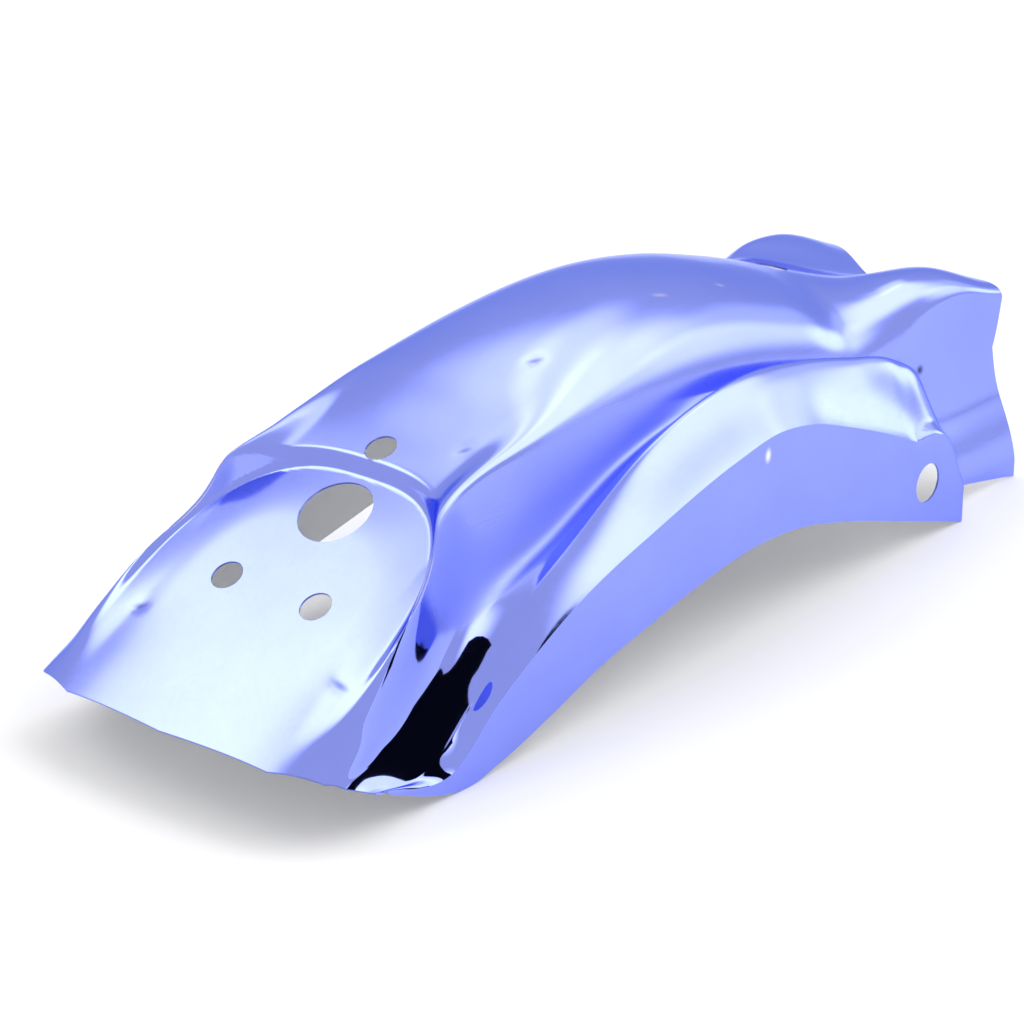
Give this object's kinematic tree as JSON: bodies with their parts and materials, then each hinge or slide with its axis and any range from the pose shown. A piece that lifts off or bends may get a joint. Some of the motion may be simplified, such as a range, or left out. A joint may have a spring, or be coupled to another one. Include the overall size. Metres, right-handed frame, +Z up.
{
  "type": "motorcycle rear fender",
  "caption": "Chrome-plated rear fender pressed from one steel sheet: arched crown, beaded skirts, flat sloping lamp panel at the tail and a notched front edge.",
  "frame": {"origin": "under the middle of the length, on the mid-plane, at the height of the lowest skirt corners", "axes": "+X forward along the bike, +Y to its left, +Z up"},
  "size_m": [0.5466, 0.184, 0.1581],
  "materials": {
    "chrome_sheet": "mirror chrome plate"
  },
  "bodies": {
    "root": {"fender_shell": "chrome_sheet"}
  },
  "joints": []
}
